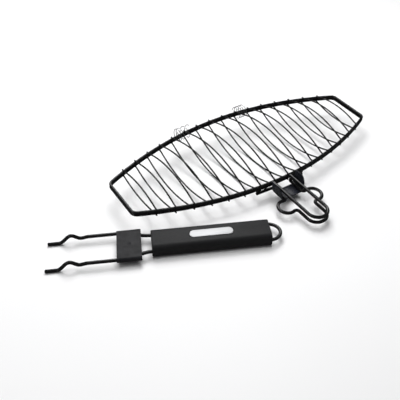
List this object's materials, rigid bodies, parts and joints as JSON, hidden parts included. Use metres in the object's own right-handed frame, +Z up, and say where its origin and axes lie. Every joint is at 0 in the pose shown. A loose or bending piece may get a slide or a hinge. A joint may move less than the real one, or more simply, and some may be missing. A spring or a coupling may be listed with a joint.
{
  "type": "grill basket",
  "caption": "Hinged fish grill basket of bowed black wires in boat-shaped frames, with wire bails, a latch bracket and a loose clip-on handle with a sliding lock.",
  "frame": {"origin": "Centre of the whole set's footprint, on the surface it lies on.", "axes": "+X along the basket, +Y from the bails to the hinge, +Z up."},
  "size_m": [0.4996, 0.2406, 0.0477],
  "materials": {
    "frame_enamel": "glossy black enamel on steel wire",
    "wire_enamel": "glossy black enamel on thin steel wire",
    "rod_enamel": "glossy black enamel on thick steel rod",
    "bracket_paint": "black enamel on folded sheet steel, slightly blue",
    "hinge_chrome": "bright plated spring wire",
    "grip_plastic": "matte charcoal moulded grip",
    "badge_silver": "smooth silver plate, left blank",
    "plate_satin": "satin black enamel on sheet steel"
  },
  "bodies": {
    "bottom_half": {"bottom_frame": "frame_enamel", "bottom_wire_01": "wire_enamel", "bottom_wire_02": "wire_enamel", "bottom_wire_03": "wire_enamel", "bottom_wire_04": "wire_enamel", "bottom_wire_05": "wire_enamel", "bottom_wire_06": "wire_enamel", "bottom_wire_07": "wire_enamel", "bottom_wire_08": "wire_enamel", "bottom_wire_09": "wire_enamel", "bottom_wire_10": "wire_enamel", "bottom_wire_11": "wire_enamel", "bottom_wire_12": "wire_enamel", "bottom_wire_13": "wire_enamel", "bottom_wire_14": "wire_enamel", "bottom_wire_15": "wire_enamel", "bottom_wire_16": "wire_enamel", "hinge_coil_left": "hinge_chrome", "hinge_coil_right": "hinge_chrome", "latch_bracket": "bracket_paint", "lower_bail": "rod_enamel"},
    "lid": {"lid_frame": "frame_enamel", "lid_wire_01": "wire_enamel", "lid_wire_02": "wire_enamel", "lid_wire_03": "wire_enamel", "lid_wire_04": "wire_enamel", "lid_wire_05": "wire_enamel", "lid_wire_06": "wire_enamel", "lid_wire_07": "wire_enamel", "lid_wire_08": "wire_enamel", "lid_wire_09": "wire_enamel", "lid_wire_10": "wire_enamel", "lid_wire_11": "wire_enamel", "lid_wire_12": "wire_enamel", "lid_wire_13": "wire_enamel", "lid_wire_14": "wire_enamel", "lid_wire_15": "wire_enamel", "lid_wire_16": "wire_enamel", "upper_bail": "rod_enamel"},
    "handle": {"handle_wire": "rod_enamel", "grip": "grip_plastic", "badge": "badge_silver"},
    "lock": {"lock_plate": "plate_satin"}
  },
  "joints": [
    {"name": "lid_hinge", "type": "hinge", "parent": "bottom_half", "child": "lid", "pos_m": [0.05801, 0.11087, 0.02746], "axis": [-1, 0, 0], "range_deg": [0, 110]},
    {"name": "handle_lift", "type": "slide", "parent": "bottom_half", "child": "handle", "axis": [0, 0, 1], "range_m": [0, 0.25]},
    {"name": "lock_slide", "type": "slide", "parent": "handle", "child": "lock", "axis": [-0.8965, 0.4431, 0], "range_m": [0, 0.03]}
  ]
}
